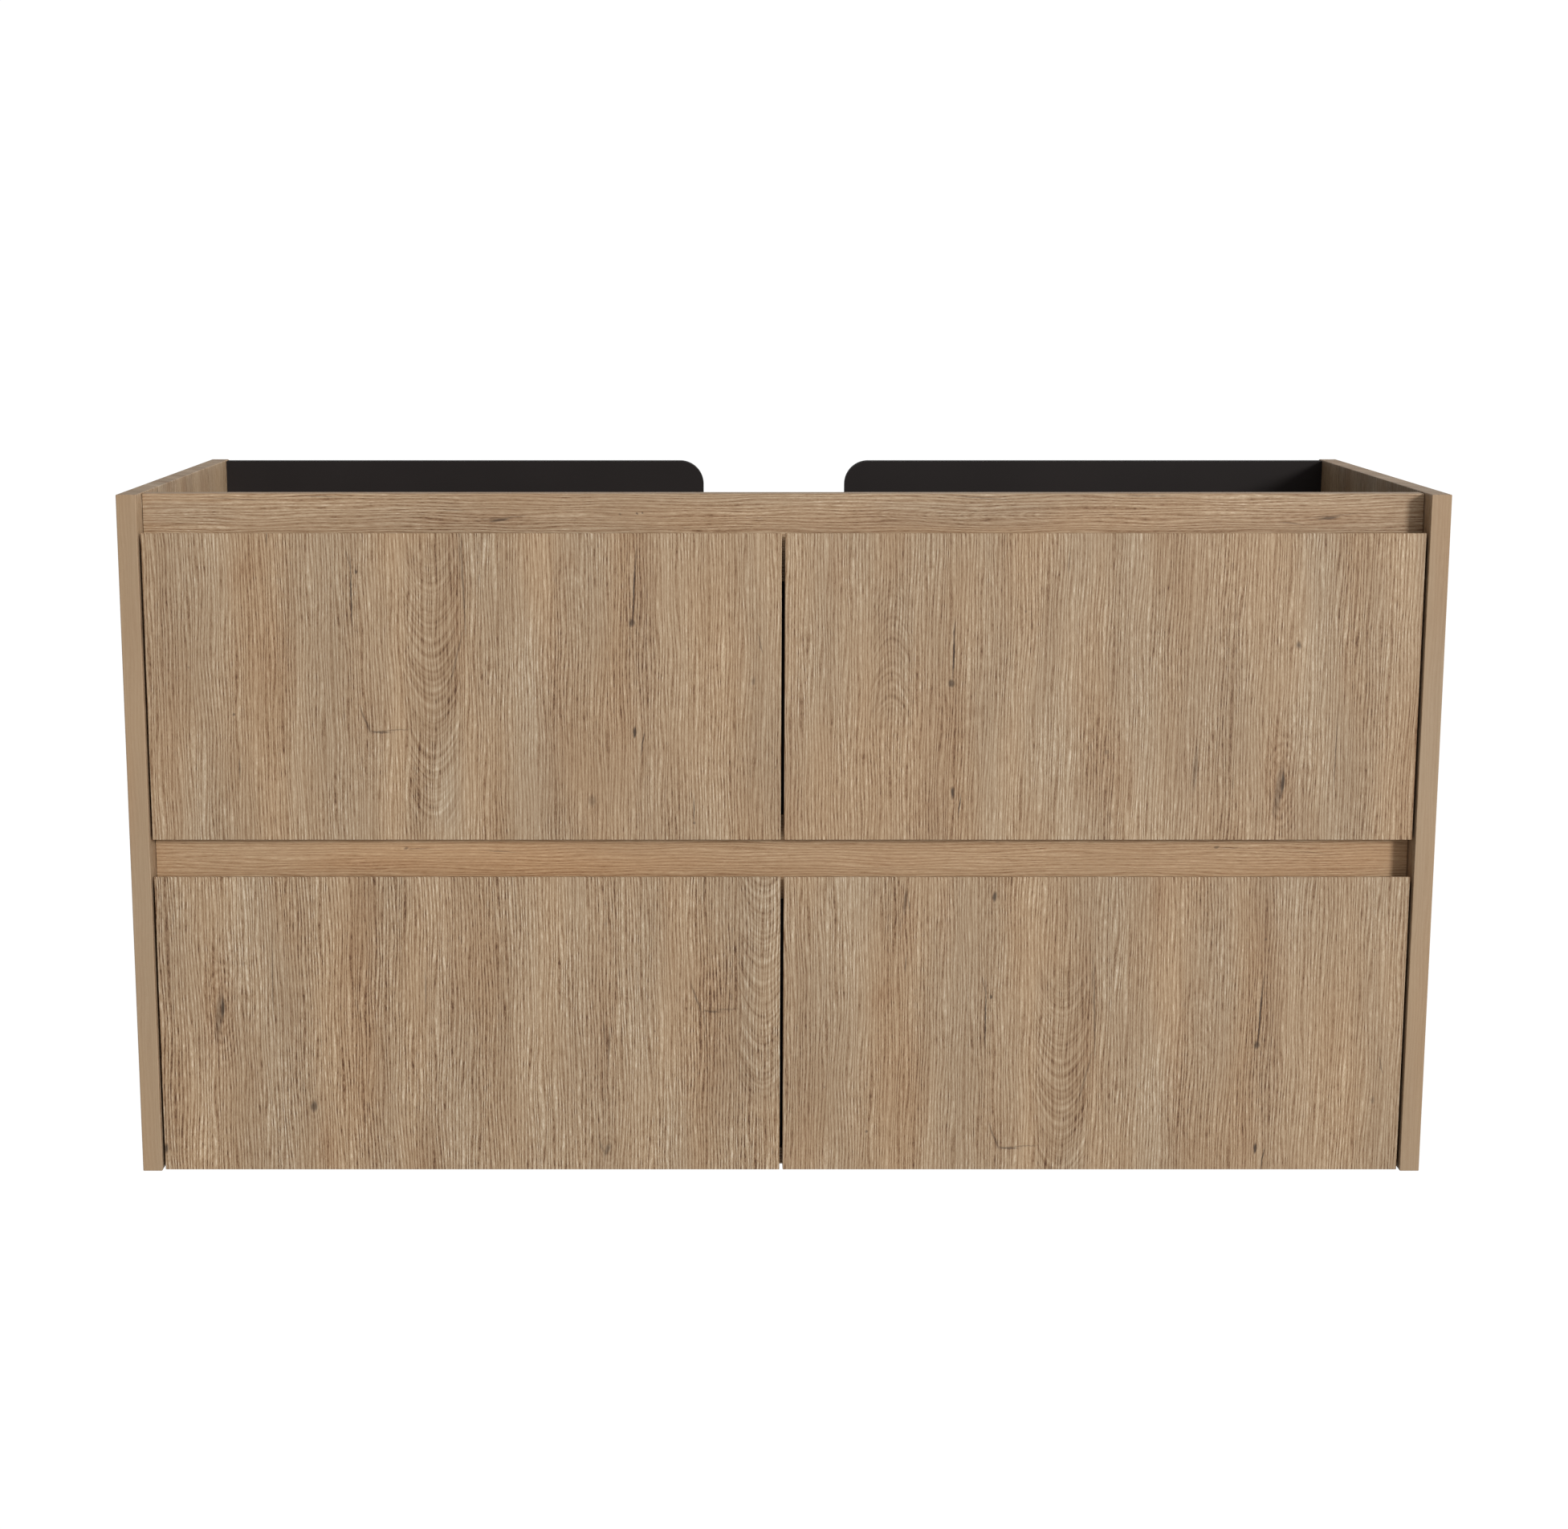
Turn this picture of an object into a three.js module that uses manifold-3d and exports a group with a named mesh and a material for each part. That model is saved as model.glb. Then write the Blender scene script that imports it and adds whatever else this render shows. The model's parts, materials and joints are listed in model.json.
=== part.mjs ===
// Wall-hung bathroom vanity base cabinet, 1200 mm wide, made as a standalone
// three.js model in millimetres with +Z up.
//
// Two full-height side panels carry a bottom panel, a back panel with a pipe
// notch, two horizontal grip rails and a centre partition. Four handleless
// drawers (two columns, two rows) run on three-member telescopic runners.
//
// Frame: origin at the middle of the footprint, on the cabinet's underside.
// +X to the right seen from the front, +Y towards the wall, +Z up.
// Depths (D_ and Y_ constants) are given from the front edge of the side
// panels, so the front plane is depth 0 and lies at y = -DEPTH / 2.

import * as THREE from 'three';
import * as BufferGeometryUtils from 'three/addons/utils/BufferGeometryUtils.js';
import Module from 'manifold-3d';

const wasm = await Module();
wasm.setup();

// ---------------------------------------------------------------- dimensions

const WIDTH = 1200;            // over both side panels
const DEPTH = 460;             // front edge of the side panels to the wall face
const HEIGHT = 635;            // side panels

const PANEL = 18;              // side panels and grip rails
const BOARD = 16;              // bottom, back, partition, fronts, drawer boards

const TOP_DROP = 1;            // top rail and back panel end below the sides

const RAIL_Y0 = 25;            // grip rails stand behind the drawer fronts
const RAIL_H = 80;
const RAIL_END_GAP = 0.5;      // joint line at each end of a rail
const MID_RAIL_Z0 = 257;

const FRONT_Y0 = 4;            // drawer fronts are inset in the side panels
const FRONT_SIDE_GAP = 2.25;
const FRONT_MID_GAP = 3;
const FINGER_GAP = 35;         // open height in front of each grip rail
const LOWER_FRONT_H = 282.5;
const UPPER_FRONT_H = 282.5;
const PULL_LAND = 3;           // flat land left on top of the bevelled pull
const PULL_DROP = 13;          // height of the 45 degree finger bevel

const BOTTOM_Y0 = 21;          // front edge of the bottom panel

const BACK_Y0 = DEPTH - BOARD; // front face of the back panel
const NOTCH_HALF = 75;         // pipe notch in the back panel
const NOTCH_DEPTH = 110;
const NOTCH_TOP_R = 25;
const NOTCH_BOTTOM_R = 30;
const HOOK_SLOT_W = 11;        // openings for the hanger hooks
const HOOK_SLOT_H = 34;

const PART_Y0 = 26;            // centre partition front edge between the rails
const PART_STEP_Z = 480;       // rear part is low, to leave room for the trap
const PART_TONGUE_Y1 = 120;    // front tongue reaches up behind the top rail
const PART_TONGUE_Z = 600;
const PART_R = 25;
const FIT = 0.25;              // clearance of the partition around the rails

const BOX_Y0 = FRONT_Y0 + BOARD; // drawer boxes start at the fronts' rear face
const BOX_LEN = 350;
const SIDE_T = 13;             // double-wall steel drawer side
const WALL = 1.5;              // its sheet thickness
const FOOT = 9;                // ledge that carries the drawer bottom
const UPPER_BOX_Z0 = 342;
const UPPER_BOX_H = 136;
const LOWER_BOX_Z0 = 22;
const LOWER_BOX_H = 190;

const RUN_T = 13;              // runner: wall to drawer side
const RUN_H = 45;
const RUN_SHEET = 1.25;
const RUN_Y0 = 26;
const RUN_LEN = 350;
const RUN_UP = 12;             // runner's lower edge above the drawer underside

const HANGER_W = 19;           // wall hanger in each rear top corner
const HANGER_Z0 = 516;
const HANGER_H = 74;
const HANGER_D = 44;
const CAP_T = 1.5;

const yOf = (depth) => depth - DEPTH / 2;

// ----------------------------------------------------------------- materials

const mat = {
  oak: new THREE.MeshStandardMaterial({ name: 'oak_board', color: 0xa48b70, roughness: 0.6, metalness: 0 }),
  black: new THREE.MeshStandardMaterial({ name: 'black_board', color: 0x2a2422, roughness: 0.7, metalness: 0 }),
  grey: new THREE.MeshStandardMaterial({ name: 'drawer_board', color: 0x8c8b88, roughness: 0.6, metalness: 0 }),
  steel: new THREE.MeshStandardMaterial({ name: 'drawer_steel', color: 0x4a4c4f, roughness: 0.45, metalness: 0.6 }),
  zinc: new THREE.MeshStandardMaterial({ name: 'zinc_steel', color: 0xb4b8bb, roughness: 0.35, metalness: 1 }),
  cap: new THREE.MeshStandardMaterial({ name: 'cap_plastic', color: 0xd9d7d0, roughness: 0.5, metalness: 0 }),
};

// ------------------------------------------------------------------- helpers

const cabinet = new THREE.Group();
cabinet.name = 'vanity_cabinet';

function add(name, geometry, material) {
  const mesh = new THREE.Mesh(geometry, material);
  mesh.name = name;
  cabinet.add(mesh);
  return mesh;
}

// box from corner to corner
function block(x0, x1, y0, y1, z0, z1) {
  const g = new THREE.BoxGeometry(x1 - x0, y1 - y0, z1 - z0);
  g.translate((x0 + x1) / 2, (y0 + y1) / 2, (z0 + z1) / 2);
  return g;
}

// shape drawn in (Y, Z), extruded along +X
function prismX(shape, x0, x1, curveSegments = 10) {
  const g = new THREE.ExtrudeGeometry(shape, { depth: x1 - x0, bevelEnabled: false, curveSegments });
  g.applyMatrix4(new THREE.Matrix4().makeBasis(
    new THREE.Vector3(0, 1, 0), new THREE.Vector3(0, 0, 1), new THREE.Vector3(1, 0, 0)));
  g.translate(x0, 0, 0);
  return g;
}

// shape drawn in (Z, X), extruded along +Y
function prismY(shape, y0, y1, curveSegments = 10) {
  const g = new THREE.ExtrudeGeometry(shape, { depth: y1 - y0, bevelEnabled: false, curveSegments });
  g.applyMatrix4(new THREE.Matrix4().makeBasis(
    new THREE.Vector3(0, 0, 1), new THREE.Vector3(1, 0, 0), new THREE.Vector3(0, 1, 0)));
  g.translate(0, y0, 0);
  return g;
}

function polygon(points) {
  const s = new THREE.Shape();
  points.forEach(([a, b], i) => (i ? s.lineTo(a, b) : s.moveTo(a, b)));
  s.closePath();
  return s;
}

function solid(geometry) {
  const g = geometry.clone();
  g.deleteAttribute('normal');
  g.deleteAttribute('uv');
  const m = BufferGeometryUtils.mergeVertices(g, 1e-4);
  return new wasm.Manifold(new wasm.Mesh({
    numProp: 3,
    vertProperties: Float32Array.from(m.attributes.position.array),
    triVerts: Uint32Array.from(m.index.array),
  }));
}

function fromSolid(manifold) {
  const m = manifold.getMesh();
  const g = new THREE.BufferGeometry();
  g.setAttribute('position', new THREE.BufferAttribute(Float32Array.from(m.vertProperties), 3));
  g.setIndex(Array.from(m.triVerts));
  g.computeVertexNormals();
  return g;
}

// ------------------------------------------------------------------- carcass

const HALF = WIDTH / 2;
const INNER = HALF - PANEL;           // inner face of a side panel
const TOP = HEIGHT - TOP_DROP;

add('side_panel_left', block(-HALF, -INNER, yOf(0), yOf(DEPTH), 0, HEIGHT), mat.oak);
add('side_panel_right', block(INNER, HALF, yOf(0), yOf(DEPTH), 0, HEIGHT), mat.oak);

add('bottom_panel', block(-INNER, INNER, yOf(BOTTOM_Y0), yOf(BACK_Y0), 0, BOARD), mat.oak);

const railX = INNER - RAIL_END_GAP;
add('top_grip_rail', block(-railX, railX, yOf(RAIL_Y0), yOf(RAIL_Y0 + PANEL), TOP - RAIL_H, TOP), mat.oak);
add('middle_grip_rail', block(-railX, railX, yOf(RAIL_Y0), yOf(RAIL_Y0 + PANEL), MID_RAIL_Z0, MID_RAIL_Z0 + RAIL_H), mat.oak);

// hanger hooks pass through the back panel here
const hookX = INNER - HANGER_W / 2;
const hookZ = HANGER_Z0 + HANGER_H - 30;

// back panel: outline in (Z, X), with the pipe notch in its top edge
{
  const s = new THREE.Shape();
  const n = NOTCH_HALF;
  const zb = TOP - NOTCH_DEPTH;
  const rt = NOTCH_TOP_R;
  const rb = NOTCH_BOTTOM_R;
  s.moveTo(0, -INNER);
  s.lineTo(0, INNER);
  s.lineTo(TOP, INNER);
  s.lineTo(TOP, n + rt);
  s.absarc(TOP - rt, n + rt, rt, 0, -Math.PI / 2, true);
  s.lineTo(zb + rb, n);
  s.absarc(zb + rb, n - rb, rb, Math.PI / 2, Math.PI, false);
  s.lineTo(zb, -n + rb);
  s.absarc(zb + rb, -n + rb, rb, Math.PI, Math.PI * 1.5, false);
  s.lineTo(TOP - rt, -n);
  s.absarc(TOP - rt, -n - rt, rt, Math.PI / 2, 0, true);
  s.lineTo(TOP, -INNER);
  s.closePath();
  for (const side of [-1, 1]) {
    const hole = new THREE.Path();
    const a = hookZ - HOOK_SLOT_H / 2;
    const b = hookZ + HOOK_SLOT_H / 2;
    const c = side * hookX - HOOK_SLOT_W / 2;
    const d = side * hookX + HOOK_SLOT_W / 2;
    hole.moveTo(a, c);
    hole.lineTo(b, c);
    hole.lineTo(b, d);
    hole.lineTo(a, d);
    hole.closePath();
    s.holes.push(hole);
  }
  add('back_panel', prismY(s, yOf(BACK_Y0), yOf(DEPTH), 10), mat.black);
}

// centre partition: outline in (Y, Z), notched around both rails and stepped
// down behind the front tongue
{
  const s = new THREE.Shape();
  const y = yOf;
  const rail1 = RAIL_Y0 + PANEL + FIT;
  s.moveTo(y(PART_Y0), BOARD);
  s.lineTo(y(BACK_Y0), BOARD);
  s.lineTo(y(BACK_Y0), PART_STEP_Z);
  s.lineTo(y(PART_TONGUE_Y1 + PART_R), PART_STEP_Z);
  s.absarc(y(PART_TONGUE_Y1 + PART_R), PART_STEP_Z + PART_R, PART_R, -Math.PI / 2, -Math.PI, true);
  s.lineTo(y(PART_TONGUE_Y1), PART_TONGUE_Z - PART_R);
  s.absarc(y(PART_TONGUE_Y1 - PART_R), PART_TONGUE_Z - PART_R, PART_R, 0, Math.PI / 2, false);
  s.lineTo(y(rail1), PART_TONGUE_Z);
  s.lineTo(y(rail1), TOP - RAIL_H - FIT);
  s.lineTo(y(PART_Y0), TOP - RAIL_H - FIT);
  s.lineTo(y(PART_Y0), MID_RAIL_Z0 + RAIL_H + FIT);
  s.lineTo(y(rail1), MID_RAIL_Z0 + RAIL_H + FIT);
  s.lineTo(y(rail1), MID_RAIL_Z0 - FIT);
  s.lineTo(y(PART_Y0), MID_RAIL_Z0 - FIT);
  s.closePath();
  add('centre_partition', prismX(s, -BOARD / 2, BOARD / 2, 8), mat.black);
}

// wall hangers: a stamped steel body against the side panel, with a hook that
// reaches through the back panel, under a moulded cover cap
for (const [tag, side] of [['left', -1], ['right', 1]]) {
  const span = (a, b) => (side < 0 ? [-INNER + a, -INNER + b] : [INNER - b, INNER - a]);
  const z0 = HANGER_Z0;
  const z1 = HANGER_Z0 + HANGER_H;
  const yb = yOf(BACK_Y0) - 0.5;
  const yf = yb - HANGER_D;

  const [bx0, bx1] = span(0, HANGER_W - 4);
  const body = polygon([
    [yf + 10, z0 + 4], [yb, z0 + 4], [yb, z1 - 4], [yf + 18, z1 - 4],
    [yf + 6, z1 - 16], [yf + 6, z0 + 16],
  ]);
  const [hx0, hx1] = [side * hookX - 3, side * hookX + 3];
  const hook = polygon([
    [yb - 8, hookZ - 9], [yOf(DEPTH) - 1, hookZ - 9], [yOf(DEPTH) - 1, hookZ + 12],
    [yOf(DEPTH) - 5, hookZ + 12], [yOf(DEPTH) - 5, hookZ - 2], [yb - 8, hookZ - 2],
  ]);
  add(`wall_hanger_${tag}`,
    fromSolid(solid(prismX(body, bx0, bx1)).add(solid(prismX(hook, hx0, hx1)))), mat.zinc);

  const [cx0, cx1] = span(0.5, HANGER_W);
  const [vx0, vx1] = span(-4, HANGER_W - CAP_T);
  const outer = polygon([
    [yf + 8, z0], [yb, z0], [yb, z1], [yf + 14, z1], [yf, z1 - 14], [yf, z0 + 8],
  ]);
  const hollow = polygon([
    [yf + 8 + CAP_T, z0 + CAP_T], [yb + 4, z0 + CAP_T], [yb + 4, z1 - CAP_T],
    [yf + 14 + CAP_T, z1 - CAP_T], [yf + CAP_T, z1 - 14 - CAP_T], [yf + CAP_T, z0 + 8 + CAP_T],
  ]);
  add(`hanger_cap_${tag}`,
    fromSolid(solid(prismX(outer, cx0, cx1)).subtract(solid(prismX(hollow, vx0, vx1)))), mat.cap);
}

// ------------------------------------------------------------------- drawers

// open C section in (Z, X): web on the `wall` side, two flanges with lips.
// u is measured from the carcass wall towards the drawer side.
function channel(toX, z, u0, u1, z0, z1, lip, webFar) {
  const t = RUN_SHEET;
  const p = webFar
    ? [[z0, u0], [z0, u1], [z1, u1], [z1, u0], [z1 - t, u0], [z1 - t, u1 - t], [z0 + t, u1 - t], [z0 + t, u0]]
    : [[z0, u0], [z0, u1], [z0 + t + lip, u1], [z0 + t + lip, u1 - t], [z0 + t, u1 - t], [z0 + t, u0 + t],
      [z1 - t, u0 + t], [z1 - t, u1 - t], [z1 - t - lip, u1 - t], [z1 - t - lip, u1], [z1, u1], [z1, u0]];
  return polygon(p.map(([a, u]) => [z + a, toX(u)]));
}

function drawer(tag, wallL, wallR, frontX0, frontX1, frontZ0, frontH, boxZ0, boxH) {
  // front with a 45 degree finger bevel along its top rear edge
  const z1 = frontZ0 + frontH;
  const yb = yOf(FRONT_Y0 + BOARD);
  const front = polygon([
    [yOf(FRONT_Y0), frontZ0], [yb, frontZ0], [yb, z1 - PULL_DROP],
    [yOf(FRONT_Y0 + PULL_LAND), z1], [yOf(FRONT_Y0), z1],
  ]);
  add(`${tag}_drawer_front`, prismX(front, frontX0, frontX1), mat.oak);

  const y0 = yOf(BOX_Y0);
  const y1 = yOf(BOX_Y0 + BOX_LEN);
  const runZ = boxZ0 + RUN_UP;

  for (const [lr, wall, dir] of [['left', wallL, 1], ['right', wallR, -1]]) {
    const toX = (u) => wall + dir * u;
    const a = RUN_T;
    const b = RUN_T + SIDE_T;
    // double-wall side: inverted U, chamfered top, ledge under the bottom board
    const h = boxH;
    const t = WALL;
    const c = 2.5;
    const side = polygon([
      [0, a], [h - c, a], [h, a + c], [h, b - c], [h - c, b], [t, b], [t, b + FOOT], [0, b + FOOT],
      [0, b - t], [h - t - 1.5, b - t], [h - t, b - t - 1.5], [h - t, a + t + 1.5], [h - t - 1.5, a + t], [0, a + t],
    ].map(([z, u]) => [boxZ0 + z, toX(u)]));
    add(`${tag}_drawer_side_${lr}`, prismY(side, y0, y1), mat.steel);

    // three-member telescopic runner
    add(`${tag}_runner_cabinet_${lr}`,
      prismY(channel(toX, runZ, 0, 8.25, 0, RUN_H, 1.5, false), yOf(RUN_Y0), yOf(RUN_Y0 + RUN_LEN)), mat.zinc);
    add(`${tag}_runner_middle_${lr}`,
      prismY(channel(toX, runZ, 2.75, 9.5, 3.75, RUN_H - 3.75, 1.5, false), yOf(RUN_Y0), yOf(RUN_Y0 + RUN_LEN)), mat.zinc);
    add(`${tag}_runner_drawer_${lr}`,
      prismY(channel(toX, runZ, 5.25, RUN_T, 7.5, RUN_H - 7.5, 0, true), yOf(RUN_Y0), y1), mat.zinc);
  }

  const ix0 = wallL + RUN_T + SIDE_T;
  const ix1 = wallR - RUN_T - SIDE_T;
  const bz0 = boxZ0 + WALL;
  const bz1 = bz0 + BOARD;
  add(`${tag}_drawer_bottom`, block(ix0, ix1, y0, y1, bz0, bz1), mat.grey);
  add(`${tag}_drawer_back`, block(ix0, ix1, y1 - BOARD, y1, bz1, boxZ0 + boxH), mat.grey);
}

const P = BOARD / 2;
const outer = INNER - FRONT_SIDE_GAP;
const mid = FRONT_MID_GAP / 2;
const upperZ0 = LOWER_FRONT_H + FINGER_GAP;
drawer('upper_left', -INNER, -P, -outer, -mid, upperZ0, UPPER_FRONT_H, UPPER_BOX_Z0, UPPER_BOX_H);
drawer('upper_right', P, INNER, mid, outer, upperZ0, UPPER_FRONT_H, UPPER_BOX_Z0, UPPER_BOX_H);
drawer('lower_left', -INNER, -P, -outer, -mid, 0, LOWER_FRONT_H, LOWER_BOX_Z0, LOWER_BOX_H);
drawer('lower_right', P, INNER, mid, outer, 0, LOWER_FRONT_H, LOWER_BOX_Z0, LOWER_BOX_H);

export default cabinet;
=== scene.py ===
import json
import math

import bmesh
import bpy
from mathutils import Matrix, Vector


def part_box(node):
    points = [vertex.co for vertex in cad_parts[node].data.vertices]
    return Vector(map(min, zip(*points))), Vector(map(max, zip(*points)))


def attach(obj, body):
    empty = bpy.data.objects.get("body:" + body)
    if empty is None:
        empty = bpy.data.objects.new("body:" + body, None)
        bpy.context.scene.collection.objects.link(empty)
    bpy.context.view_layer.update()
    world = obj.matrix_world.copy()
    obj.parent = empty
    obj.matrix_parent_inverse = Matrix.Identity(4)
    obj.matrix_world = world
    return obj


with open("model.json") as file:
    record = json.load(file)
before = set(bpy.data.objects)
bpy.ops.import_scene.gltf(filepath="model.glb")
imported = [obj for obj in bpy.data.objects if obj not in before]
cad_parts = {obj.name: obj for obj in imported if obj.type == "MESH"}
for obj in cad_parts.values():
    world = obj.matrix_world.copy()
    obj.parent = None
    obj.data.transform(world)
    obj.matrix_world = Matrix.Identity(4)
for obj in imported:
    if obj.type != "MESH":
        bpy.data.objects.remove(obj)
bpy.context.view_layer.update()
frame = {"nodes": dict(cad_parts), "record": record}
nodes = frame["nodes"]
scene = bpy.context.scene


# ---------------------------------------------------------------- camera

W, H = 1953, 1904
F_PX, CX, CY = 3305.78, 898.845, 947.94      # focal length and principal point
PITCH = math.radians(10.435)

cam_data = bpy.data.cameras.new("view")
cam_data.sensor_fit = "HORIZONTAL"
cam_data.sensor_width = 36.0
cam_data.lens = F_PX * 36.0 / W
cam_data.shift_x = (W / 2 - CX) / W
cam_data.shift_y = (CY - H / 2) / W
cam_data.clip_start = 0.05
cam_data.clip_end = 100
cam = bpy.data.objects.new("view", cam_data)
cam.location = (-0.055838, -2.615894, 0.831271)
cam.rotation_euler = (math.pi / 2 - PITCH, 0, 0)
scene.collection.objects.link(cam)
scene.camera = cam

scene.view_settings.view_transform = "Standard"
scene.view_settings.look = "None"
scene.view_settings.exposure = 0
scene.view_settings.gamma = 1


# ------------------------------------------------------------ node helper

def lin(c):
    """sRGB 0-255 to a linear RGBA tuple."""
    out = []
    for v in c:
        v = v / 255
        out.append(v / 12.92 if v <= 0.04045 else ((v + 0.055) / 1.055) ** 2.4)
    return (*out, 1.0)


class Tree:
    """Small helper that builds node trees from expressions."""

    def __init__(self, name):
        self.mat = bpy.data.materials.new(name)
        self.mat.use_nodes = True
        self.t = self.mat.node_tree
        self.t.nodes.clear()
        self.out = self.t.nodes.new("ShaderNodeOutputMaterial")
        self.bsdf = self.t.nodes.new("ShaderNodeBsdfPrincipled")
        self.t.links.new(self.bsdf.outputs[0], self.out.inputs[0])

    def _set(self, sock, v):
        if isinstance(v, bpy.types.NodeSocket):
            self.t.links.new(v, sock)
        else:
            sock.default_value = v

    def m(self, op, *a, clamp=False):
        n = self.t.nodes.new("ShaderNodeMath")
        n.operation = op
        n.use_clamp = clamp
        for i, v in enumerate(a):
            self._set(n.inputs[i], v)
        return n.outputs[0]

    def add(self, a, b): return self.m("ADD", a, b)
    def sub(self, a, b): return self.m("SUBTRACT", a, b)
    def mul(self, a, b): return self.m("MULTIPLY", a, b)
    def mad(self, a, b, c): return self.m("MULTIPLY_ADD", a, b, c)

    def vec(self, x, y, z=0.0):
        n = self.t.nodes.new("ShaderNodeCombineXYZ")
        for i, v in enumerate((x, y, z)):
            self._set(n.inputs[i], v)
        return n.outputs[0]

    def vm(self, op, a, b=None):
        n = self.t.nodes.new("ShaderNodeVectorMath")
        n.operation = op
        self._set(n.inputs[0], a)
        if b is not None:
            self._set(n.inputs[3] if op == "SCALE" else n.inputs[1], b)
        return n.outputs["Value"] if op in ("LENGTH", "DISTANCE", "DOT_PRODUCT") else n.outputs[0]

    def mapping(self, v, loc, rot, scale):
        n = self.t.nodes.new("ShaderNodeMapping")
        n.vector_type = "TEXTURE"
        self._set(n.inputs["Vector"], v)
        n.inputs["Location"].default_value = loc
        n.inputs["Rotation"].default_value = rot
        n.inputs["Scale"].default_value = scale
        return n.outputs[0]

    def noise(self, v, scale=1.0, detail=0.0, rough=0.5, dist=0.0, dims="3D", color=False):
        n = self.t.nodes.new("ShaderNodeTexNoise")
        n.noise_dimensions = dims
        self._set(n.inputs["Vector"], v)
        n.inputs["Scale"].default_value = scale
        n.inputs["Detail"].default_value = detail
        n.inputs["Roughness"].default_value = rough
        n.inputs["Distortion"].default_value = dist
        return n.outputs["Color" if color else "Fac"]

    def rng(self, x, a, b, c=0.0, d=1.0, smooth=False):
        n = self.t.nodes.new("ShaderNodeMapRange")
        n.interpolation_type = "SMOOTHSTEP" if smooth else "LINEAR"
        n.clamp = True
        self._set(n.inputs["Value"], x)
        for k, v in (("From Min", a), ("From Max", b), ("To Min", c), ("To Max", d)):
            n.inputs[k].default_value = v
        return n.outputs["Result"]

    def ramp(self, fac, stops, mode="LINEAR"):
        n = self.t.nodes.new("ShaderNodeValToRGB")
        cr = n.color_ramp
        cr.interpolation = mode
        while len(cr.elements) < len(stops):
            cr.elements.new(0.5)
        for e, (p, c) in zip(cr.elements, stops):
            e.position = p
            e.color = c
        self._set(n.inputs[0], fac)
        return n.outputs[0]

    def mix(self, fac, a, b, blend="MIX"):
        n = self.t.nodes.new("ShaderNodeMix")
        n.data_type = "RGBA"
        n.blend_type = blend
        n.clamp_factor = True
        self._set(n.inputs[0], fac)
        self._set(n.inputs[6], a)
        self._set(n.inputs[7], b)
        return n.outputs[2]

    def bump(self, height, distance, strength=1.0, normal=None):
        n = self.t.nodes.new("ShaderNodeBump")
        n.inputs["Strength"].default_value = strength
        n.inputs["Distance"].default_value = distance
        self._set(n.inputs["Height"], height)
        if normal is not None:
            self.t.links.new(normal, n.inputs["Normal"])
        return n.outputs[0]

    def coords(self):
        n = self.t.nodes.new("ShaderNodeTexCoord")
        s = self.t.nodes.new("ShaderNodeSeparateXYZ")
        self.t.links.new(n.outputs["Object"], s.inputs[0])
        q = self.t.nodes.new("ShaderNodeSeparateXYZ")
        self.t.links.new(n.outputs["Normal"], q.inputs[0])
        return n.outputs["Object"], s.outputs, q.outputs

    def finish(self, color, rough, normal=None, metallic=0.0, spec=0.5):
        b = self.bsdf.inputs
        self._set(b["Base Color"], color)
        self._set(b["Roughness"], rough)
        b["Metallic"].default_value = metallic
        b["Specular IOR Level"].default_value = spec
        if normal is not None:
            self.t.links.new(normal, b["Normal"])
        return self.mat


# ------------------------------------------------------------ oak decor

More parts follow.
